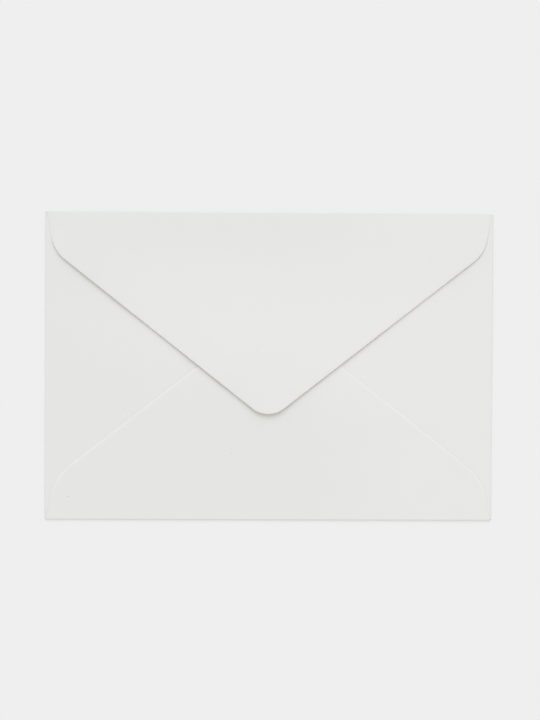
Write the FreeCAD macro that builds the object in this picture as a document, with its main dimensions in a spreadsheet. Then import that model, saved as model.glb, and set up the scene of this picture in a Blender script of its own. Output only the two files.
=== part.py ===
import FreeCAD, Part
import math
import os
from enum import IntEnum, auto

import Sketcher

# A pointed-flap paper envelope, closed, lying on its address panel with the flap side up.
# One sheet of paper: the panel, two side flaps folded in, the bottom flap folded up and glued
# over them, and the top flap folded down over all, unsealed and springing up to its point.
# X runs along the long edge, Y towards the top fold, Z up. The origin is under the middle.

# Driving dimensions in millimetres, one row each: name, value, what it is
SIZES = [
    ("envelope_length", 160, "from side fold to side fold"),
    ("envelope_height", 110, "from bottom fold to top fold"),
    ("paper_thickness", 0.15, "the sheet"),
    ("side_crease_gap", 0.2, "air between the panel and a side flap"),
    ("glue_thickness", 0.05, "film between a side flap and the bottom flap"),
    ("top_flap_gap", 0.05, "air between a side flap and the top flap at its fold"),
    ("top_flap_lift", 1, "rise of the top flap from its fold to its point"),
    ("top_point_past_middle", 19.4, "middle to where the top flap's two cuts would meet"),
    ("bottom_point_past_middle", 20.3, "middle to where the bottom flap's two cuts would meet"),
    ("flap_tip_radius", 9.2, "round on the top and bottom flaps' points"),
    ("flap_shoulder_inset", 3.2, "how far the cut has left the side fold at the shoulder"),
    ("top_shoulder_drop", 14.2, "top fold to its flap's shoulder corner"),
    ("bottom_shoulder_drop", 15.1, "bottom fold to its flap's shoulder corner"),
    ("flap_shoulder_radius", 13, "round on the top and bottom flaps' shoulders"),
    ("side_seam_overlap", 13, "side flap under the bottom flap's slanted edge"),
    ("side_shoulder_drop", 8.8, "side fold to the side flap's shoulder corner"),
    ("side_shoulder_radius", 8, "round on the side flaps' shoulders"),
    ("side_tip_radius", 12, "round on the side flaps' points"),
    ("corner_relief", 0.75, "notch between neighbouring folds at each corner"),
    ("corner_radius", 0.3, "round on the panel's corners"),
    ("seam_edge_margin", 2.5, "bottom flap's edge to the glue line"),
    ("seam_width", 8, "width of the glue line"),
    ("seam_start", 31.5, "bottom flap's point to the near end of the glue line"),
    ("seam_length", 60, "length of the glue line"),
    ("cutter_margin", 1, "how far each flap's cutting shape runs past its fold"),
]

# Sizes that follow from the driving ones
HALF_LENGTH = "sizes.envelope_length / 2"
HALF_HEIGHT = "sizes.envelope_height / 2"

# Height of each layer's underside, from the table up
SIDE_LEVEL = "(sizes.paper_thickness + sizes.side_crease_gap)"
BOTTOM_LEVEL = f"({SIDE_LEVEL} + sizes.paper_thickness + sizes.glue_thickness)"
TOP_LEVEL = f"({SIDE_LEVEL} + sizes.paper_thickness + sizes.top_flap_gap)"

# The bottom flap's slanted edge, and the side flaps' edges that run parallel to it
SEAM_SLOPE = (f"(({HALF_HEIGHT} + sizes.bottom_point_past_middle - sizes.bottom_shoulder_drop)"
              f" / ({HALF_LENGTH} - sizes.flap_shoulder_inset))")
SEAM_ANGLE = f"atan({SEAM_SLOPE})"
SIDE_POINT = (f"({HALF_LENGTH} - (sizes.bottom_point_past_middle"
              f" - sizes.side_seam_overlap / cos({SEAM_ANGLE})) / {SEAM_SLOPE})")

# Each flap is drawn folded over the +Y edge and turned about Z onto its own edge
TOP_FLAP = {
    "turn": 0,
    "reach": HALF_HEIGHT,
    "width": "sizes.envelope_length",
    "level": TOP_LEVEL,
    "lift": "sizes.top_flap_lift",
    "point": f"({HALF_HEIGHT} + sizes.top_point_past_middle)",
    "base_half": f"{HALF_LENGTH} - sizes.corner_relief",
    "shoulder_half": f"{HALF_LENGTH} - sizes.flap_shoulder_inset",
    "shoulder_drop": "sizes.top_shoulder_drop",
    "shoulder_radius": "sizes.flap_shoulder_radius",
    "tip_radius": "sizes.flap_tip_radius",
}
BOTTOM_FLAP = dict(
    TOP_FLAP,
    turn=180,
    level=BOTTOM_LEVEL,
    lift="0",
    point=f"({HALF_HEIGHT} + sizes.bottom_point_past_middle)",
    shoulder_drop="sizes.bottom_shoulder_drop",
)
LEFT_FLAP = {
    "turn": 90,
    "reach": HALF_LENGTH,
    "width": "sizes.envelope_height",
    "level": SIDE_LEVEL,
    "lift": "0",
    "point": SIDE_POINT,
    "base_half": f"{HALF_HEIGHT} - sizes.corner_relief",
    "shoulder_half": f"{SEAM_SLOPE} * ({SIDE_POINT} - sizes.side_shoulder_drop)",
    "shoulder_drop": "sizes.side_shoulder_drop",
    "shoulder_radius": "sizes.side_shoulder_radius",
    "tip_radius": "sizes.side_tip_radius",
}
RIGHT_FLAP = dict(LEFT_FLAP, turn=270)



class Place(IntEnum):
    """The points of a curve, as constraints number them."""

    START = auto()
    END = auto()
    CENTRE = auto()


START, END, CENTRE = Place
X_AXIS, Y_AXIS = -1, -2


def vector(x, y):
    """A point of a sketch."""
    return FreeCAD.Vector(x, y, 0)


def write_sheet(doc):
    """Put the driving dimensions in the sheet that everything reads."""
    sheet = doc.addObject("Spreadsheet::Sheet", "sizes")
    for row, (name, size, meaning) in enumerate(SIZES, start=1):
        sheet.set(f"A{row}", name)
        sheet.set(f"B{row}", str(size))
        sheet.set(f"C{row}", meaning)
        sheet.setAlias(f"B{row}", name)
    doc.recompute()
    return sheet


def number(doc, formula):
    """What a formula of sheet values comes to."""
    result = doc.sizes.evalExpression(formula)
    return float(getattr(result, "Value", result))


def outer_radius(flap):
    """Radius of a fold's outside: half of the height of everything it wraps."""
    return f"({flap['level']} + sizes.paper_thickness) / 2"


def new_body(doc, name, turn=0):
    """An empty body, turned about Z onto its edge of the envelope."""
    body = doc.addObject("PartDesign::Body", name)
    body.Placement.Rotation = FreeCAD.Rotation(FreeCAD.Vector(0, 0, 1), turn)
    return body


def new_sketch(body, name, plane):
    """A sketch on one of the body's own origin planes."""
    sketch = body.newObject("Sketcher::SketchObject", name)
    planes = {feature.Role: feature for feature in body.Origin.OriginFeatures}
    sketch.AttachmentSupport = [(planes[plane], "")]
    sketch.MapMode = "FlatFace"
    return sketch


def line(sketch, start, end):
    """Add a straight edge and give its number."""
    return sketch.addGeometry(Part.LineSegment(vector(*start), vector(*end)), False)


def arc(sketch, centre, radius, from_angle, to_angle):
    """Add an arc, anticlockwise between two angles in degrees, and give its number."""
    circle = Part.Circle(vector(*centre), FreeCAD.Vector(0, 0, 1), radius)
    curve = Part.ArcOfCircle(circle, math.radians(from_angle), math.radians(to_angle))
    return sketch.addGeometry(curve, False)


def mark(sketch, point):
    """Add a construction point and give its number."""
    return sketch.addGeometry(Part.Point(vector(*point)), True)


def fix(sketch, kind, *places):
    """Add a geometric constraint."""
    sketch.addConstraint(Sketcher.Constraint(kind, *places))


def size(doc, sketch, kind, *places, formula):
    """Add a dimension whose value follows the sheet."""
    index = sketch.addConstraint(Sketcher.Constraint(kind, *places, number(doc, formula)))
    sketch.setExpression(f"Constraints[{index}]", formula)


def pad(body, name, sketch, length, side="One side"):
    """Thicken a sketch by a length that follows the sheet."""
    feature = body.newObject("PartDesign::Pad", name)
    feature.Profile = sketch
    feature.SideType = side
    feature.setExpression("Length", length)
    feature.Refine = True
    return feature


def panel(doc):
    """The address panel: flat between the four folds, with rounded corners."""
    body = new_body(doc, "address_panel")
    sketch = new_sketch(body, "panel_outline", "XY_Plane")
    right = f"{HALF_LENGTH} - {outer_radius(RIGHT_FLAP)}"
    top = f"{HALF_HEIGHT} - {outer_radius(TOP_FLAP)}"
    bottom = f"{outer_radius(BOTTOM_FLAP)} - {HALF_HEIGHT}"
    x, y_top, y_bottom = (number(doc, formula) for formula in (right, top, bottom))
    low = line(sketch, (-x, y_bottom), (x, y_bottom))
    east = line(sketch, (x, y_bottom), (x, y_top))
    high = line(sketch, (x, y_top), (-x, y_top))
    west = line(sketch, (-x, y_top), (-x, y_bottom))
    for edge, after in ((low, east), (east, high), (high, west), (west, low)):
        fix(sketch, "Coincident", edge, END, after, START)
    fix(sketch, "Horizontal", high)
    fix(sketch, "Vertical", east)
    fix(sketch, "Vertical", west)
    fix(sketch, "Symmetric", low, START, low, END, Y_AXIS)
    size(doc, sketch, "DistanceX", low, END, formula=right)
    size(doc, sketch, "DistanceY", low, END, formula=bottom)
    size(doc, sketch, "DistanceY", high, START, formula=top)
    slab = pad(body, "panel_sheet", sketch, "sizes.paper_thickness")
    doc.recompute()
    corners = [
        f"Edge{index}"
        for index, edge in enumerate(slab.Shape.Edges, start=1)
        if edge.Vertexes[0].Z != edge.Vertexes[1].Z
    ]
    rounding = body.newObject("PartDesign::Fillet", "panel_corners")
    rounding.Base = (slab, corners)
    rounding.setExpression("Radius", "sizes.corner_radius")
    return body


def bent_strip(doc, name, flap):
    """Paper bent round the fold: a half round, then a straight run back over the panel."""
    body = new_body(doc, f"{name}_strip", flap["turn"])
    sketch = new_sketch(body, f"{name}_section", "YZ_Plane")
    outer = outer_radius(flap)
    inner = f"{outer} - sizes.paper_thickness"
    bend_line = f"{flap['reach']} - {outer}"
    far_end = f"{flap['reach']} - {flap['point']}"
    far_level = f"{flap['level']} + {flap['lift']}"

    # Where everything starts before the constraints take hold
    radius, inside_radius = number(doc, outer), number(doc, inner)
    thickness = radius - inside_radius
    near, far = number(doc, bend_line), number(doc, far_end)
    level, raised = number(doc, flap["level"]), number(doc, far_level)
    stop = 90 - math.degrees(math.atan2(raised - level, near - far))

    root = line(sketch, (near, 0), (near, thickness))
    outside = arc(sketch, (near, radius), radius, -90, stop)
    inside = arc(sketch, (near, radius), inside_radius, -90, stop)
    upper = line(sketch, (near, level + thickness), (far, raised + thickness))
    lower = line(sketch, (near, level), (far, raised))
    end = line(sketch, (far, raised + thickness), (far, raised))
    fix(sketch, "Coincident", outside, START, root, START)
    fix(sketch, "Coincident", inside, START, root, END)
    fix(sketch, "Coincident", outside, CENTRE, inside, CENTRE)
    fix(sketch, "Tangent", outside, END, upper, START)
    fix(sketch, "Tangent", inside, END, lower, START)
    fix(sketch, "Coincident", upper, END, end, START)
    fix(sketch, "Coincident", lower, END, end, END)
    fix(sketch, "Parallel", upper, lower)
    fix(sketch, "Perpendicular", lower, end)
    fix(sketch, "Vertical", root)
    fix(sketch, "Vertical", root, START, outside, CENTRE)
    fix(sketch, "PointOnObject", root, START, X_AXIS)
    size(doc, sketch, "DistanceX", root, START, formula=bend_line)
    size(doc, sketch, "Radius", outside, formula=outer)
    size(doc, sketch, "Radius", inside, formula=inner)
    size(doc, sketch, "DistanceX", lower, END, formula=far_end)
    size(doc, sketch, "DistanceY", lower, END, formula=far_level)
    body.Tip = pad(body, f"{name}_bend", sketch, flap["width"], side="Symmetric")
    return body


def cutter(doc, name, flap):
    """The flap's outline seen from above: leaning edge, round shoulder, slanted cut, round tip."""
    body = new_body(doc, f"{name}_cutter", flap["turn"])
    sketch = new_sketch(body, f"{name}_outline", "XY_Plane")
    base_line = f"{flap['reach']} + sizes.cutter_margin"
    shoulder_line = f"{flap['reach']} - {flap['shoulder_drop']}"
    point_line = f"{flap['reach']} - {flap['point']}"

    # Where everything starts before the constraints take hold
    base = number(doc, base_line)
    fold_end = (number(doc, flap["base_half"]), number(doc, flap["reach"]))
    shoulder = (number(doc, flap["shoulder_half"]), number(doc, shoulder_line))
    point = (0, number(doc, point_line))
    shoulder_radius = number(doc, flap["shoulder_radius"])
    tip_radius = number(doc, flap["tip_radius"])

    # Which way the leaning edge and the slanted cut face, anticlockwise from X
    lean = math.atan2(shoulder[0] - fold_end[0], fold_end[1] - shoulder[1])
    cut = math.atan2(shoulder[1] - point[1], shoulder[0]) - math.pi / 2
    middle = (lean + cut) / 2
    inward = shoulder_radius / math.cos(lean - middle)
    shoulder_centre = (
        shoulder[0] - inward * math.cos(middle),
        shoulder[1] - inward * math.sin(middle),
    )
    tip_centre = (0, point[1] - tip_radius / math.sin(cut))
    lean, cut = math.degrees(lean), math.degrees(cut)

    top = line(sketch, (0, base), (fold_end[0], base))
    leaning = line(sketch, (fold_end[0], base), shoulder)
    round_shoulder = arc(sketch, shoulder_centre, shoulder_radius, cut, lean)
    slanted = line(sketch, shoulder, point)
    round_tip = arc(sketch, tip_centre, tip_radius, -90, cut)
    middle_line = line(sketch, (0, tip_centre[1] - tip_radius), (0, base))
    at_fold = mark(sketch, fold_end)
    at_shoulder = mark(sketch, shoulder)
    at_point = mark(sketch, point)
    fix(sketch, "Horizontal", top)
    fix(sketch, "PointOnObject", middle_line, START, Y_AXIS)
    fix(sketch, "PointOnObject", middle_line, END, Y_AXIS)
    fix(sketch, "Coincident", top, START, middle_line, END)
    fix(sketch, "Coincident", top, END, leaning, START)
    fix(sketch, "Tangent", leaning, END, round_shoulder, END)
    fix(sketch, "Tangent", slanted, START, round_shoulder, START)
    fix(sketch, "Tangent", slanted, END, round_tip, END)
    fix(sketch, "Coincident", round_tip, START, middle_line, START)
    fix(sketch, "PointOnObject", round_tip, CENTRE, Y_AXIS)
    fix(sketch, "PointOnObject", at_fold, START, leaning)
    fix(sketch, "PointOnObject", at_shoulder, START, leaning)
    fix(sketch, "PointOnObject", at_shoulder, START, slanted)
    fix(sketch, "PointOnObject", at_point, START, slanted)
    fix(sketch, "PointOnObject", at_point, START, Y_AXIS)
    size(doc, sketch, "DistanceY", top, START, formula=base_line)
    size(doc, sketch, "DistanceX", at_fold, START, formula=flap["base_half"])
    size(doc, sketch, "DistanceY", at_fold, START, formula=flap["reach"])
    size(doc, sketch, "DistanceX", at_shoulder, START, formula=flap["shoulder_half"])
    size(doc, sketch, "DistanceY", at_shoulder, START, formula=shoulder_line)
    size(doc, sketch, "DistanceY", at_point, START, formula=point_line)
    size(doc, sketch, "Radius", round_shoulder, formula=flap["shoulder_radius"])
    size(doc, sketch, "Radius", round_tip, formula=flap["tip_radius"])

    depth = f"2 * ({flap['level']} + {flap['lift']} + sizes.cutter_margin)"
    half = pad(body, f"{name}_half", sketch, depth, side="Symmetric")
    mirrored = body.newObject("PartDesign::Mirrored", f"{name}_whole")
    mirrored.Originals = [half]
    mirrored.MirrorPlane = (sketch, ["V_Axis"])
    mirrored.Refine = True
    body.Tip = mirrored
    return body


def folded_flap(doc, name, flap):
    """One flap: bent paper cut to the flap's outline."""
    flap_sheet = doc.addObject("Part::MultiCommon", name)
    flap_sheet.Shapes = [bent_strip(doc, name, flap), cutter(doc, name, flap)]
    return flap_sheet


def glue_line(doc):
    """The right seam: a film under the bottom flap, beside its slanted edge."""
    film = doc.addObject("Part::Box", "seam_right")
    away = "(sizes.seam_edge_margin + sizes.seam_width)"
    film.setExpression("Length", "sizes.seam_length")
    film.setExpression("Width", "sizes.seam_width")
    film.setExpression("Height", "sizes.glue_thickness")
    film.Placement.Rotation = FreeCAD.Rotation(FreeCAD.Vector(0, 0, -1), 1)
    film.setExpression("Placement.Rotation.Angle", SEAM_ANGLE)
    film.setExpression(
        "Placement.Base.x",
        f"sizes.seam_start * cos({SEAM_ANGLE}) - {away} * sin({SEAM_ANGLE})",
    )
    film.setExpression(
        "Placement.Base.y",
        "sizes.bottom_point_past_middle"
        f" - sizes.seam_start * sin({SEAM_ANGLE}) - {away} * cos({SEAM_ANGLE})",
    )
    film.setExpression("Placement.Base.z", f"{SIDE_LEVEL} + sizes.paper_thickness")
    return film


def mirrored_left(doc, name, source):
    """The same piece on the left half."""
    twin = doc.addObject("Part::Mirroring", name)
    twin.Source = source
    twin.Base = FreeCAD.Vector(0, 0, 0)
    twin.Normal = FreeCAD.Vector(1, 0, 0)
    return twin


def check(doc):
    """Stop if any object failed or any shape isn't sound."""
    for thing in doc.Objects:
        if "Invalid" in thing.State or "Error" in thing.State:
            raise RuntimeError(f"{thing.Name} did not build: {thing.State}")
        shape = getattr(thing, "Shape", None)
        if shape is not None and not thing.isDerivedFrom("App::DatumElement"):
            if shape.isNull() or not shape.isValid():
                raise RuntimeError(f"{thing.Name} has no sound shape")


def main():
    doc = FreeCAD.newDocument("paper_envelope")
    write_sheet(doc)
    right_seam = glue_line(doc)
    envelope = doc.addObject("Part::MultiFuse", "envelope")
    envelope.Shapes = [
        panel(doc),
        folded_flap(doc, "left_flap", LEFT_FLAP),
        folded_flap(doc, "right_flap", RIGHT_FLAP),
        folded_flap(doc, "bottom_flap", BOTTOM_FLAP),
        folded_flap(doc, "top_flap", TOP_FLAP),
        right_seam,
        mirrored_left(doc, "seam_left", right_seam),
    ]
    envelope.Refine = True
    envelope.Label = "envelope"
    doc.recompute()
    check(doc)
    solids = envelope.Shape.Solids
    if len(solids) != 1:
        raise RuntimeError(f"the folded sheet came out as {len(solids)} solids")
    box = envelope.Shape.BoundBox
    print(f"envelope {box.XLength:.2f} x {box.YLength:.2f} x {box.ZLength:.2f} mm,"
          f" {envelope.Shape.Volume:.0f} mm3")
    os.makedirs("parts", exist_ok=True)
    envelope.Shape.exportStep(f"parts/{envelope.Label}.step")


main()
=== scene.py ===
import math
from dataclasses import dataclass, replace

import bmesh
import bpy
from mathutils import Euler, Matrix, Vector, noise


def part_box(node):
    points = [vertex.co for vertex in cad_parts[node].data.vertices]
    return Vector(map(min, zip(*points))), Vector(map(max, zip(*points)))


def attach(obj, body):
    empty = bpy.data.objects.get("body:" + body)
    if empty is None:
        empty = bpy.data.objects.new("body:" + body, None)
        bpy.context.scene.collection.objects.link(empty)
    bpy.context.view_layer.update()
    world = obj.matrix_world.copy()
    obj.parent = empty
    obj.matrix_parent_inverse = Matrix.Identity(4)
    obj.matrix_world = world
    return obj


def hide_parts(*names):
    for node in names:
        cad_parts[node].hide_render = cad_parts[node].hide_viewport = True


# A closed pointed-flap envelope of off-white paper, lying on its address panel, flap side up.
# All of it is one sheet: a flat blank is cut to its outline, ruled, folded at its four creases
# and given the paper's thickness. Metres and degrees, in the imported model's own frame: X along
# the long edge, Y towards the top fold, Z up.

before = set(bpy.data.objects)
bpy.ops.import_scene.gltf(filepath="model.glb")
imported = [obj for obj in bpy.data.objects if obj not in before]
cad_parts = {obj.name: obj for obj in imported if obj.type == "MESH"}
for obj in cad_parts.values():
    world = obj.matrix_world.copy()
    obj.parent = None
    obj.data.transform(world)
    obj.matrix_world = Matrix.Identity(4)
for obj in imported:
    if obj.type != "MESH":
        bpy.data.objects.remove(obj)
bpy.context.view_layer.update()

MM = 0.001
NODE = "envelope"
ACROSS, UP_THE_PAGE = Vector((1, 0, 0)), Vector((0, 1, 0))

# The sheet and the air between its layers
PAPER = 0.15 * MM
SIDE_CREASE_GAP = 0.2 * MM
GLUE_FILM = 0.05 * MM
TOP_FLAP_GAP = 0.05 * MM
TOP_FLAP_LIFT = 1 * MM

# Height of each folded layer's inner face at its fold
SIDE_LEVEL = PAPER + SIDE_CREASE_GAP
BOTTOM_LEVEL = SIDE_LEVEL + PAPER + GLUE_FILM
TOP_LEVEL = SIDE_LEVEL + PAPER + TOP_FLAP_GAP

# The folded envelope's outline, from the frame
HALF_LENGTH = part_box(NODE)[1].x
HALF_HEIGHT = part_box(NODE)[1].y

# The cuts
TOP_POINT_PAST_MIDDLE = 19.4 * MM
TOP_POINT_ASIDE = -0.4 * MM
TOP_SHOULDER_DROP = 14.2 * MM
BOTTOM_POINT_PAST_MIDDLE = 20.3 * MM
BOTTOM_POINT_ASIDE = -0.4 * MM
BOTTOM_SHOULDER_DROP = 15.1 * MM
SHOULDER_INSET = 3.2 * MM
TOP_SHOULDER_RADIUS = 13 * MM
BOTTOM_SHOULDER_RADIUS = 20 * MM
TIP_RADIUS = 9.2 * MM
SEAM_OVERLAP = 13 * MM
SIDE_SHOULDER_DROP = 8.8 * MM
SIDE_SHOULDER_RADIUS = 8 * MM
SIDE_TIP_RADIUS = 12 * MM
CORNER_RELIEF = 0.45 * MM
PANEL_CORNER_RADIUS = 0.1 * MM

# How finely the sheet is ruled
RULING = 2 * MM
BEND_STEPS = 10
CORNER_STEPS = 12
CREASE_MARGIN = 0.3 * MM

# A length far below any ruling, and how near each other two points count as one
TINY = 0.001 * MM
SAME_PLACE = TINY / 10

# What the sheet carries from its cutting to its finish: the strip along the cut edge, the
# painted highlight on the glued flap's strip, and the painted shade on the folds
CUT_STRIP = "cut_strip"
SEAM_HIGHLIGHT = "seam_mark"
FOLD_SHADE = "fold_mark"
MARKS = (CUT_STRIP, SEAM_HIGHLIGHT, FOLD_SHADE)

# Along a cut edge the knife leaves a narrow strip of the sheet rolled over a little. The bottom
# flap is glued, which leaves it nearly flat. Its strip carries a painted highlight, though not
# beside the lower fold
STRIP_WIDTH = 1.2 * MM
STRIP_ROLL = 0.06 * MM
SEAM_STRIP_WIDTH = 1 * MM
SEAM_STRIP_ROLL = 0.005 * MM
SEAM_START = 5 * MM
SEAM_FULL = 15 * MM

# The cut edge's own two corners are broken
EDGE_BREAK = 0.04 * MM
EDGE_BREAK_STEPS = 2
CUT_EDGE_ANGLE = math.radians(60)
SHARP_ANGLE = math.radians(35)

# The pocket's front stands up a little from the panel, most in the middle, in soft waves
POCKET_BULGE = 0.3 * MM
POCKET_WAVE = 0.5
WAVE_LENGTH = 45 * MM

# Where the top flap leaves its straight rise: place across, distance below the fold, rise
# and how far that reaches. Its ends are pressed down beside the fold, its shoulders, middle
# and point stand up. All of it dies away into the fold
FLAP_SPRINGS = (
    (-79 * MM, 6 * MM, -0.35 * MM, 5 * MM),
    (79 * MM, 6 * MM, -0.12 * MM, 5 * MM),
    (-69 * MM, 23 * MM, 0.59 * MM, 14 * MM),
    (72 * MM, 19 * MM, 0.31 * MM, 11 * MM),
    (-50 * MM, 34 * MM, 0.15 * MM, 8 * MM),
    (42 * MM, 41 * MM, 0.05 * MM, 9 * MM),
    (-22 * MM, 59 * MM, 0.26 * MM, 8 * MM),
    (20 * MM, 60 * MM, 0.14 * MM, 8 * MM),
    (0 * MM, 78 * MM, 1.05 * MM, 6.8 * MM),
)
FOLD_HOLD = 4 * MM

# Camera above the envelope, a little up and to the left of its middle. Its lens and sensor are
# in millimetres
CAMERA_PLACE = Vector((-18.5, 18.6, 715.1)) * MM
CAMERA_TURN = (-1.312, -1.495, 0.327)
CAMERA_LENS = 100
CAMERA_SENSOR = 36

# A broad light from behind the top edge. What the sky lacks, the key gives
KEY_ELEVATION = 42
KEY_SPREAD = 46
SKY = Vector((0.845, 0.805, 0.77))
KEY = Vector((1, 1, 1)) - SKY

# The floor shows its own plain colour to the camera for this share, which softens the shadow
FLOOR_SIZE = 6000 * MM
FLOOR_DEPTH = 0.02 * MM
FLOOR_PLAIN_SHARE = 0.45


def seen(red, green, blue):
    """A colour given as a screen shows it, from 0 to 255, as light, by the usual sRGB curve."""
    return [((level / 255 + 0.055) / 1.055) ** 2.4 for level in (red, green, blue)]


# Painted shade makes the folds slightly darker, and a painted highlight makes the glued flap's
# cut edge paler
FLOOR_COLOUR = seen(239, 239, 239)
PAPER_LIGHT = seen(232.5, 232.2, 230.3)
PAPER_SHADE = seen(229, 229.8, 227)
SEAM_HIGHLIGHT_COLOUR = seen(236, 235.5, 232.5)
FOLD_SHADE_COLOUR = seen(227, 227.5, 225.5)
SPECK_COLOUR = seen(170, 168, 162)

# Painted light: the sheet's colour is faintly lighter on its right and in a broad slanting patch
# across its middle, standing in for how the light falls
RIGHT_START = 0 * MM
RIGHT_FULL = 60 * MM
RIGHT_SHARE = 0.62
PATCH_HEIGHT = 14 * MM
PATCH_SLANT = 0.1
PATCH_HALF_WIDTH = 98 * MM
PATCH_HALF_HEIGHT = 39 * MM

# Clouds and tooth are noise, at this scale to the metre, with these shares in the tone. Noise
# is a half on average, which is taken off again
CLOUD_SCALE = 110
CLOUD_DETAIL = 4
CLOUD_SHARE = 0.5
TOOTH_SCALE = 2600
TOOTH_DETAIL = 3
TOOTH_SHARE = 0.3
AVERAGE_NOISE = (CLOUD_SHARE + TOOTH_SHARE) / 2

# The surface: a matt sheet, rougher in its clouds, with a very shallow tooth
ROUGHNESS = 0.8
CLOUD_ROUGHNESS = 0.1
SHINE = 0.2
TOOTH_DEPTH = 0.01 * MM
TOOTH_STRENGTH = 0.25

# Dark fibres in the sheet: place and half width
SPECKS = (
    (Vector((-71.5, -46.7, 0)) * MM, 0.22 * MM),
    (Vector((-4.6, 6.2, 0)) * MM, 0.15 * MM),
    (Vector((-13.5, -31, 0)) * MM, 0.16 * MM),
    (Vector((-52.1, -15.9, 0)) * MM, 0.15 * MM),
)


@dataclass
class Flap:
    """A flap of the blank, described as if its crease ran along the +Y edge."""

    turn: float  # about Z, from the +Y edge to the flap's own
    reach: float  # middle of the envelope to the outside of the fold
    level: float  # height of the folded flap's inner face at the fold
    lift: float  # further rise of that face at the flap's point
    point: float  # fold to where the two slanted cuts would meet
    point_aside: float  # how far to the right that is
    base_half: float  # half width at the fold
    shoulder_half: float  # half width at the shoulder's corner
    shoulder_drop: float  # fold to the shoulder's corner
    shoulder_radius: float
    tip_radius: float
    strip_width: float = STRIP_WIDTH  # along its cut edge
    strip_roll: float = STRIP_ROLL  # how far the cut edge is rolled down
    glued: bool = False

    @property
    def bend_line(self):
        """Middle of the envelope to where the panel starts to bend."""
        return self.reach - (self.level + PAPER) / 2

    @property
    def step(self):
        """Angle that each ruled strip of the bend turns."""
        return (math.pi - math.atan2(self.lift, self.point)) / BEND_STEPS

    @property
    def strip(self):
        """Width of a ruled strip, so that the rulings lie on the inside of the bend."""
        return (self.level - PAPER) * math.sin(self.step / 2)

    def creases(self):
        """Place and angle of every line at which the bend turns, the end ones half as far."""
        for index in range(BEND_STEPS + 1):
            share = 0.5 if index in (0, BEND_STEPS) else 1
            yield self.bend_line + index * self.strip, share * self.step

    def unfolded(self, drop):
        """Place on the flat blank of what lies this far below the fold once folded."""
        return 2 * self.bend_line + BEND_STEPS * self.strip - self.reach + drop

    def rounds(self, side):
        """Centre, radius, first and last facing of one side's two rounds, drawn on the right."""
        fold_end = Vector((self.base_half, self.unfolded(0), 0))
        shoulder = Vector((self.shoulder_half, self.unfolded(self.shoulder_drop), 0))
        point = Vector((side * self.point_aside, self.unfolded(self.point), 0))
        far_point = Vector((-point.x, point.y, 0))
        lean = facing_of(shoulder - fold_end)
        cut = facing_of(point - shoulder)
        far_cut = math.pi - facing_of(far_point - shoulder)
        yield rounded(shoulder, self.shoulder_radius, lean, cut), self.shoulder_radius, lean, cut
        yield rounded(point, self.tip_radius, cut, far_cut), self.tip_radius, cut, math.pi / 2


def facing_of(edge):
    """Angle from X of the way an edge's right side faces."""
    return math.atan2(-edge.x, edge.y)


def facing(angle, side=1):
    """Unit vector at an angle from X, mirrored for the left side."""
    return Vector((side * math.cos(angle), math.sin(angle), 0))


def rounded(corner, radius, first, last):
    """Centre of the arc that rounds the corner between edges that face these two ways."""
    inward = radius / math.cos((last - first) / 2)
    return corner - inward * facing((first + last) / 2)


TOP_FLAP = Flap(
    turn=0,
    reach=HALF_HEIGHT,
    level=TOP_LEVEL,
    lift=TOP_FLAP_LIFT,
    point=HALF_HEIGHT + TOP_POINT_PAST_MIDDLE,
    point_aside=TOP_POINT_ASIDE,
    base_half=HALF_LENGTH - CORNER_RELIEF,
    shoulder_half=HALF_LENGTH - SHOULDER_INSET,
    shoulder_drop=TOP_SHOULDER_DROP,
    shoulder_radius=TOP_SHOULDER_RADIUS,
    tip_radius=TIP_RADIUS,
)
BOTTOM_FLAP = replace(
    TOP_FLAP,
    turn=180,
    level=BOTTOM_LEVEL,
    lift=0,
    point=HALF_HEIGHT + BOTTOM_POINT_PAST_MIDDLE,
    point_aside=BOTTOM_POINT_ASIDE,
    shoulder_drop=BOTTOM_SHOULDER_DROP,
    shoulder_radius=BOTTOM_SHOULDER_RADIUS,
    strip_width=SEAM_STRIP_WIDTH,
    strip_roll=SEAM_STRIP_ROLL,
    glued=True,
)

# The side flaps' cuts run parallel to the bottom flap's slanted edges, under them
SEAM_SLOPE = (BOTTOM_FLAP.point - BOTTOM_SHOULDER_DROP) / BOTTOM_FLAP.shoulder_half
SEAM_OVERLAP_DOWN = SEAM_OVERLAP / math.cos(math.atan(SEAM_SLOPE))
SIDE_POINT = HALF_LENGTH - (BOTTOM_POINT_PAST_MIDDLE - SEAM_OVERLAP_DOWN) / SEAM_SLOPE
LEFT_FLAP = Flap(
    turn=90,
    reach=HALF_LENGTH,
    level=SIDE_LEVEL,
    lift=0,
    point=SIDE_POINT,
    point_aside=0,
    base_half=HALF_HEIGHT - CORNER_RELIEF,
    shoulder_half=SEAM_SLOPE * (SIDE_POINT - SIDE_SHOULDER_DROP),
    shoulder_drop=SIDE_SHOULDER_DROP,
    shoulder_radius=SIDE_SHOULDER_RADIUS,
    tip_radius=SIDE_TIP_RADIUS,
)
RIGHT_FLAP = replace(LEFT_FLAP, turn=270)

# The sides are folded in first, then the bottom and last the top
FLAPS = (LEFT_FLAP, RIGHT_FLAP, BOTTOM_FLAP, TOP_FLAP)


def turn_sheet(sheet, angle):
    """Turn the whole sheet about the middle, so that another flap's crease is the +Y edge."""
    turning = Matrix.Rotation(math.radians(angle), 3, "Z")
    bmesh.ops.rotate(sheet, verts=sheet.verts, cent=Vector(), matrix=turning)


def rule_line(sheet, place, way):
    """Rule a straight line across the whole flat sheet, square to a direction."""
    everything = [*sheet.verts, *sheet.edges, *sheet.faces]
    bmesh.ops.bisect_plane(
        sheet, geom=everything, dist=SAME_PLACE, plane_co=place, plane_no=way
    )


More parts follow.
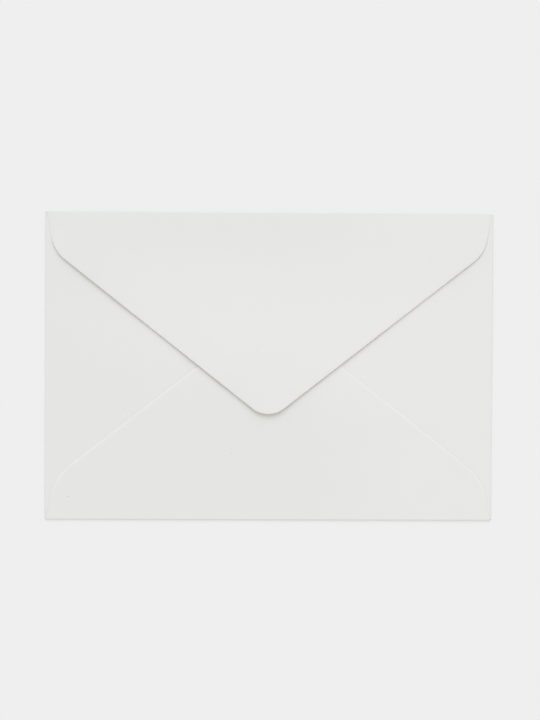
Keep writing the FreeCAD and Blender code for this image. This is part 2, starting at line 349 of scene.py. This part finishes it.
def cut_off(sheet, place, way, faces):
    """Cut these faces of the flat sheet along a line and drop what lies past it."""
    # A dictionary keeps its order, where a set doesn't, so every run cuts in the same order
    edges = dict.fromkeys(edge for face in faces for edge in face.edges)
    verts = dict.fromkeys(vert for face in faces for vert in face.verts)
    halves = bmesh.ops.bisect_plane(
        sheet, geom=[*faces, *edges, *verts], dist=SAME_PLACE, plane_co=place, plane_no=way
    )["geom"]
    waste = [
        face for face in halves
        if isinstance(face, bmesh.types.BMFace)
        and (face.calc_center_median() - place).dot(way) > 0
    ]
    bmesh.ops.delete(sheet, geom=waste, context="FACES")


def round_off(sheet, centre, radius, first, last, side, choose):
    """Cut a rounded corner, its two straight edges included, as a run of short cuts."""
    centre = Vector((side * centre.x, centre.y, 0))
    for index in range(CORNER_STEPS + 1):
        way = facing(first + (last - first) * index / CORNER_STEPS, side)
        cut_off(sheet, centre + radius * way, way, choose())


def cut_flap(sheet, flap):
    """Cut a flap's outline and mark off the strip along it that the knife rolls over."""
    turn_sheet(sheet, -flap.turn)

    def flap_faces():
        return [
            face for face in sheet.faces if face.calc_center_median().y > flap.bend_line
        ]

    for side in (1, -1):
        for corner in flap.rounds(side):
            round_off(sheet, *corner, side, flap_faces)
    bmesh.ops.inset_region(
        sheet,
        faces=flap_faces(),
        thickness=flap.strip_width,
        use_even_offset=True,
        use_boundary=True,
    )
    cut_strip = sheet.verts.layers.float[CUT_STRIP]
    for vert in sheet.verts:
        if vert.is_boundary and vert.co.y > flap.bend_line + TINY:
            vert[cut_strip] = 1
    turn_sheet(sheet, flap.turn)


def cut_panel_corners(sheet, flap):
    """Round the two corners of the panel beside a flap."""
    turn_sheet(sheet, -flap.turn)
    corner = Vector((LEFT_FLAP.bend_line, flap.bend_line, 0))
    centre = corner - PANEL_CORNER_RADIUS * Vector((1, 1, 0))

    def panel_face():
        return [
            face for face in sheet.faces
            if abs(face.calc_center_median().x) < corner.x
            and abs(face.calc_center_median().y) < corner.y
        ]

    for side in (1, -1):
        round_off(sheet, centre, PANEL_CORNER_RADIUS, 0, math.pi / 2, side, panel_face)
    turn_sheet(sheet, flap.turn)


def rule_flap(sheet, flap):
    """Rule a flap's creases across the sheet, and a line on either side of them."""
    turn_sheet(sheet, -flap.turn)
    places = [place for place, _ in flap.creases()]
    for place in (places[0] - CREASE_MARGIN, *places, places[-1] + CREASE_MARGIN):
        rule_line(sheet, Vector((0, place, 0)), UP_THE_PAGE)
    turn_sheet(sheet, flap.turn)


def rule_squares(sheet, half_width, half_depth):
    """Rule the sheet in squares, so that it can bend everywhere."""
    for way, half in ((ACROSS, half_width), (UP_THE_PAGE, half_depth)):
        lines = int(half / RULING)
        for index in range(-lines, lines + 1):
            rule_line(sheet, index * RULING * way, way)


def flat_blank():
    """The flat sheet: cut from a rectangle, then ruled. Its face is as high as it is thick."""
    half_width = LEFT_FLAP.unfolded(LEFT_FLAP.point)
    half_depth = BOTTOM_FLAP.unfolded(BOTTOM_FLAP.point)
    sheet = bmesh.new()
    for name in MARKS:
        sheet.verts.layers.float.new(name)
    bmesh.ops.create_grid(sheet, x_segments=1, y_segments=1, size=1)
    bmesh.ops.scale(sheet, verts=sheet.verts, vec=Vector((half_width, half_depth, 1)))
    bmesh.ops.translate(sheet, verts=sheet.verts, vec=Vector((0, 0, PAPER)))
    for side in (1, -1):
        rule_line(sheet, side * LEFT_FLAP.bend_line * ACROSS, ACROSS)
    rule_line(sheet, TOP_FLAP.bend_line * UP_THE_PAGE, UP_THE_PAGE)
    rule_line(sheet, -BOTTOM_FLAP.bend_line * UP_THE_PAGE, UP_THE_PAGE)
    for flap in (TOP_FLAP, BOTTOM_FLAP, LEFT_FLAP, RIGHT_FLAP):
        cut_flap(sheet, flap)
    for flap in (TOP_FLAP, BOTTOM_FLAP):
        cut_panel_corners(sheet, flap)
    rule_squares(sheet, half_width, half_depth)
    for flap in FLAPS:
        rule_flap(sheet, flap)
    return sheet


def bulge(x, y):
    """How far the pocket's front stands up from its flat shape."""
    across, along = x / HALF_LENGTH, y / HALF_HEIGHT
    wave = noise.noise(Vector((x, y, 0)) / WAVE_LENGTH)
    return POCKET_BULGE * (1 - across**2) * (1 - along**2) * (1 + POCKET_WAVE * wave)


def spring(x, drop):
    """How far the top flap leaves its straight rise."""
    hold = 1 - math.exp(-drop / FOLD_HOLD)
    return hold * sum(
        rise * math.exp(-((x - across) ** 2 + (drop - down) ** 2) / (2 * reach**2))
        for across, down, rise, reach in FLAP_SPRINGS
    )


def seam_highlight_share(drop):
    """How much of the painted highlight the glued flap's cut edge has, this far from the fold."""
    share = min(max((drop - SEAM_START) / (SEAM_FULL - SEAM_START), 0), 1)
    return share**2 * (3 - 2 * share)


def finish_flap(sheet, flap, past_crease, past_bend):
    """Paint shade on a folded flap's bend and a highlight on its seam, roll its cut edge down and
    spring the top flap.
    """
    layers = sheet.verts.layers.float
    cut_strip, seam_mark, fold_mark = (layers[name] for name in MARKS)
    # Painted shade on the bend, which darkens the fold's colour
    for vert in past_crease:
        vert[fold_mark] = 1
    for vert in past_bend:
        vert[fold_mark] = 0
        drop = flap.reach - vert.co.y
        if flap is TOP_FLAP:
            vert.co.z += spring(vert.co.x, drop)
        vert.co.z -= flap.strip_roll * vert[cut_strip]
        # Painted highlight along the glued flap's cut edge
        if flap.glued:
            vert[seam_mark] = seam_highlight_share(drop) * vert[cut_strip]


def fold(sheet, flap):
    """Fold a flap over the panel, a little at each crease, from the outermost crease in."""
    turn_sheet(sheet, -flap.turn)
    creases = list(flap.creases())
    beyond = [
        [vert for vert in sheet.verts if vert.co.y > place + TINY] for place, _ in creases
    ]
    for (place, angle), verts in reversed(list(zip(creases, beyond))):
        turning = Matrix.Rotation(angle, 3, "X")
        bmesh.ops.rotate(sheet, verts=verts, cent=Vector((0, place, PAPER)), matrix=turning)
    finish_flap(sheet, flap, beyond[0], beyond[-1])
    turn_sheet(sheet, flap.turn)
    for vert in beyond[-1]:
        vert.co.z += bulge(vert.co.x, vert.co.y)


def thicken(sheet):
    """Give the folded sheet its thickness, on the outside of the folds."""
    bmesh.ops.solidify(sheet, geom=sheet.faces[:], thickness=PAPER)


def break_cut_edges(sheet):
    """Round the two corners of the cut edge where the paper isn't bent."""
    cut = [
        edge for edge in sheet.edges
        if edge.is_manifold and edge.calc_face_angle() > CUT_EDGE_ANGLE
        and edge.calc_length() > 2 * EDGE_BREAK
    ]
    bmesh.ops.bevel(
        sheet, geom=cut, offset=EDGE_BREAK, offset_type="OFFSET", segments=EDGE_BREAK_STEPS,
        profile=0.5, affect="EDGES", material=-1, clamp_overlap=True,
    )
    bmesh.ops.dissolve_degenerate(sheet, dist=SAME_PLACE, edges=sheet.edges)


def show(name, data):
    """Put an object with this mesh, lamp or camera in the scene."""
    thing = bpy.data.objects.new(name, data)
    bpy.context.scene.collection.objects.link(thing)
    return thing


def show_shape(name, shape):
    """Put an object with this worked shape in the scene, and let go of the shape."""
    mesh = bpy.data.meshes.new(name)
    shape.to_mesh(mesh)
    shape.free()
    return show(name, mesh)


def folded_sheet():
    """The whole envelope, folded from its blank."""
    sheet = flat_blank()
    for flap in FLAPS:
        fold(sheet, flap)
    thicken(sheet)
    break_cut_edges(sheet)
    for face in sheet.faces:
        face.smooth = True
    for edge in sheet.edges:
        edge.smooth = not edge.is_manifold or edge.calc_face_angle() < SHARP_ANGLE
    return show_shape("folded_sheet", sheet)


class Shade:
    """A node's socket: an operator on it adds the Math node that works it out."""

    def __init__(self, socket):
        self.socket = socket
        self.tree = socket.id_data

    def work_out(self, operation, other, swap=False):
        """Add a Math node between this and another socket or number."""
        node = self.tree.nodes.new("ShaderNodeMath")
        node.operation = operation
        items = (other, self) if swap else (self, other)
        for socket, item in zip(node.inputs, items):
            feed(self.tree, socket, item)
        return Shade(node.outputs[0])

    def __add__(self, other):
        return self.work_out("ADD", other)

    def __sub__(self, other):
        return self.work_out("SUBTRACT", other)

    def __rsub__(self, other):
        return self.work_out("SUBTRACT", other, swap=True)

    def __mul__(self, other):
        return self.work_out("MULTIPLY", other)

    __radd__ = __add__
    __rmul__ = __mul__


def feed(tree, socket, item):
    """Link a shade to a socket, or set the socket's value."""
    if isinstance(item, Shade):
        tree.links.new(item.socket, socket)
    elif socket.type == "RGBA":
        socket.default_value = (*item, 1)
    else:
        socket.default_value = item


def add_node(tree, kind, settings=None, output=None, **inputs):
    """Add a node: its settings first, then its sockets, by name or Blender's identifier."""
    node = tree.nodes.new(kind)
    for name, value in (settings or {}).items():
        setattr(node, name, value)
    for name, item in inputs.items():
        socket = next(
            socket for socket in node.inputs
            if socket.enabled and name in (socket.name.replace(" ", "_"), socket.identifier)
        )
        feed(tree, socket, item)
    for socket in node.outputs:
        if socket.enabled and output in (None, socket.name):
            return Shade(socket)


def mix_colour(tree, share, first, second):
    """Two colours mixed, with this share of the second."""
    return add_node(
        tree, "ShaderNodeMix", {"data_type": "RGBA"}, Factor=share, A=first, B=second
    )


def mark_on_sheet(tree, name):
    """How strongly the sheet carries a mark."""
    return add_node(tree, "ShaderNodeAttribute", {"attribute_name": name}, output="Fac")


def empty_tree(owner):
    """The node tree of a material or world, with nothing in it."""
    owner.use_nodes = True
    owner.node_tree.nodes.clear()
    return owner.node_tree


def paper_tone(tree, x, y, cloud, tooth):
    """Share of the sheet's lighter colour: painted light on the right and across the middle, with
    the real clouds and tooth.
    """
    # Painted light: lighter towards the right
    painted_light_right = add_node(
        tree, "ShaderNodeMapRange", {"interpolation_type": "SMOOTHSTEP"},
        Value=x, From_Min=RIGHT_START, From_Max=RIGHT_FULL, To_Max=RIGHT_SHARE,
    )
    # Painted light: a lighter slanting patch across the middle
    across = x * (1 / PATCH_HALF_WIDTH)
    up = (y + x * PATCH_SLANT - PATCH_HEIGHT) * (1 / PATCH_HALF_HEIGHT)
    painted_light_patch = (1 - across * across - up * up).work_out("MAXIMUM", 0)
    grain = cloud * CLOUD_SHARE + tooth * TOOTH_SHARE - AVERAGE_NOISE
    return painted_light_right + painted_light_patch * painted_light_patch + grain


def speck(x, y, centre, half_width):
    """One at the middle of a speck, falling to nothing at its rim."""
    right, above = x - centre.x, y - centre.y
    return (1 - (right * right + above * above) * (1 / half_width**2)).work_out("MAXIMUM", 0)


def paper_material():
    """Smooth uncoated writing paper: faintly cloudy, with a fine tooth and a few specks."""
    material = bpy.data.materials.new("writing_paper")
    tree = empty_tree(material)
    place = add_node(tree, "ShaderNodeTexCoord", output="Object")
    x = add_node(tree, "ShaderNodeSeparateXYZ", output="X", Vector=place)
    y = add_node(tree, "ShaderNodeSeparateXYZ", output="Y", Vector=place)
    cloud = add_node(
        tree, "ShaderNodeTexNoise", Vector=place, Scale=CLOUD_SCALE, Detail=CLOUD_DETAIL
    )
    tooth = add_node(
        tree, "ShaderNodeTexNoise", Vector=place, Scale=TOOTH_SCALE, Detail=TOOTH_DETAIL
    )
    colour = mix_colour(tree, paper_tone(tree, x, y, cloud, tooth), PAPER_SHADE, PAPER_LIGHT)
    specks = sum(speck(x, y, centre, half_width) for centre, half_width in SPECKS)
    # Painted highlight on the seam, painted shade on the folds, and the paper's real dark specks
    for share, tint in (
        (mark_on_sheet(tree, SEAM_HIGHLIGHT), SEAM_HIGHLIGHT_COLOUR),
        (mark_on_sheet(tree, FOLD_SHADE), FOLD_SHADE_COLOUR),
        (specks, SPECK_COLOUR),
    ):
        colour = mix_colour(tree, share, colour, tint)
    bump = add_node(
        tree, "ShaderNodeBump", Height=tooth, Strength=TOOTH_STRENGTH, Distance=TOOTH_DEPTH
    )
    surface = add_node(
        tree, "ShaderNodeBsdfPrincipled", Base_Color=colour, Normal=bump,
        Roughness=ROUGHNESS + CLOUD_ROUGHNESS * cloud, Specular_IOR_Level=SHINE,
    )
    add_node(tree, "ShaderNodeOutputMaterial", Surface=surface)
    return material


def stage_material():
    """The plain pale floor."""
    material = bpy.data.materials.new("pale_floor")
    tree = empty_tree(material)
    surface = add_node(
        tree, "ShaderNodeBsdfPrincipled",
        Base_Color=FLOOR_COLOUR, Roughness=1, Specular_IOR_Level=0,
    )
    plain = add_node(tree, "ShaderNodeEmission", Color=FLOOR_COLOUR, Strength=1)
    camera_ray = add_node(tree, "ShaderNodeLightPath", output="Is Camera Ray")
    shown = add_node(
        tree, "ShaderNodeMixShader",
        Fac=camera_ray * FLOOR_PLAIN_SHARE, Shader=surface, Shader_001=plain,
    )
    add_node(tree, "ShaderNodeOutputMaterial", Surface=shown)
    return material


def floor():
    """A wide plain floor under the envelope."""
    plane = bmesh.new()
    bmesh.ops.create_grid(plane, x_segments=1, y_segments=1, size=FLOOR_SIZE / 2)
    bmesh.ops.translate(plane, verts=plane.verts, vec=Vector((0, 0, -FLOOR_DEPTH)))
    ground = show_shape("floor", plane)
    ground.data.materials.append(stage_material())
    return ground


def key_light():
    """A soft lamp far away, beyond the top edge, that lights a level sheet by the key's share."""
    elevation = math.radians(KEY_ELEVATION)
    towards = Vector((0, math.cos(elevation), math.sin(elevation)))
    sun = bpy.data.lights.new("key", "SUN")
    strongest = max(KEY)
    sun.energy = strongest * math.pi / math.sin(elevation)
    sun.color = KEY / strongest
    sun.angle = math.radians(KEY_SPREAD)
    lamp = show("key", sun)
    lamp.rotation_euler = (-towards).to_track_quat("-Z", "Y").to_euler()


def sky_light():
    """Even light from all round. The camera sees the floor's colour there."""
    world = bpy.data.worlds.new("studio")
    tree = empty_tree(world)
    camera_ray = add_node(tree, "ShaderNodeLightPath", output="Is Camera Ray")
    colour = mix_colour(tree, camera_ray, SKY, FLOOR_COLOUR)
    light = add_node(tree, "ShaderNodeBackground", Color=colour, Strength=1)
    add_node(tree, "ShaderNodeOutputWorld", Surface=light)
    bpy.context.scene.world = world


def camera():
    """The photograph's view, looking almost straight down."""
    lens = bpy.data.cameras.new("camera")
    lens.lens = CAMERA_LENS
    lens.sensor_width = CAMERA_SENSOR
    eye = show("camera", lens)
    eye.location = CAMERA_PLACE
    eye.rotation_euler = Euler([math.radians(angle) for angle in CAMERA_TURN], "XYZ")
    bpy.context.scene.camera = eye


camera()
key_light()
sky_light()
floor()
envelope = folded_sheet()
envelope.data.materials.append(paper_material())
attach(envelope, "root")
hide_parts(NODE)

bpy.context.scene.view_settings.view_transform = "Standard"
